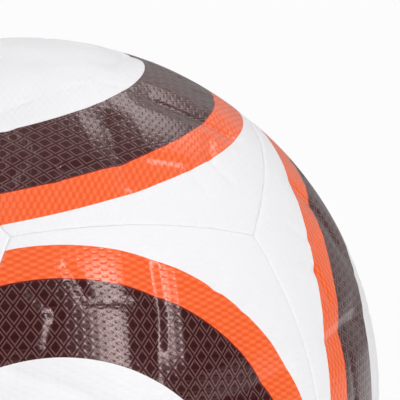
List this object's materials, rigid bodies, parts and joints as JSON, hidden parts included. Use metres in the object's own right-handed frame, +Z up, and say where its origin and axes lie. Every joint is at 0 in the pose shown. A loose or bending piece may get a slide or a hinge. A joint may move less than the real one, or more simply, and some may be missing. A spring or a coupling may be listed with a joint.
{
  "type": "soccer ball",
  "caption": "Round inflated soccer ball with pentagonal moulded covers bonded over foam, a carcass and a bladder with a needle valve.",
  "frame": {"origin": "centre of the ball", "axes": "+Y out of the needle valve in the middle of the rear cover; -Y out of the middle of the front cover; +Z up, square to the front cover's level upper edge; +X to the right seen from the front"},
  "size_m": [0.22, 0.2199, 0.22],
  "materials": {
    "cover_skin": "moulded polyurethane skin, satin, fine debossed brick grain, printed orange and dark plum bands",
    "foam": "closed-cell foam backing, matte",
    "bond_film": "hot-melt adhesive film",
    "carcass_cloth": "wound polyester thread laminated with latex",
    "bladder_rubber": "butyl rubber, smooth",
    "weight_rubber": "dense rubber pad, matte",
    "valve_rubber": "moulded rubber, satin",
    "plug_silicone": "silicone plug, slightly glossy",
    "patch_cloth": "rubberised cord cloth"
  },
  "bodies": {
    "root": {"cover_front": "cover_skin", "cover_front_top": "cover_skin", "cover_front_upper_left": "cover_skin", "cover_front_lower_left": "cover_skin", "cover_front_lower_right": "cover_skin", "cover_front_upper_right": "cover_skin", "cover_rear": "cover_skin", "cover_rear_upper_left": "cover_skin", "cover_rear_upper_right": "cover_skin", "cover_rear_lower_right": "cover_skin", "cover_rear_bottom": "cover_skin", "cover_rear_lower_left": "cover_skin", "foam_front": "foam", "foam_front_top": "foam", "foam_front_upper_left": "foam", "foam_front_lower_left": "foam", "foam_front_lower_right": "foam", "foam_front_upper_right": "foam", "foam_rear": "foam", "foam_rear_upper_left": "foam", "foam_rear_upper_right": "foam", "foam_rear_lower_right": "foam", "foam_rear_bottom": "foam", "foam_rear_lower_left": "foam", "seam_bond": "bond_film", "carcass": "carcass_cloth", "bladder": "bladder_rubber", "counterweight": "weight_rubber", "valve_body": "valve_rubber", "valve_plug": "plug_silicone", "valve_patch": "patch_cloth"}
  },
  "joints": []
}
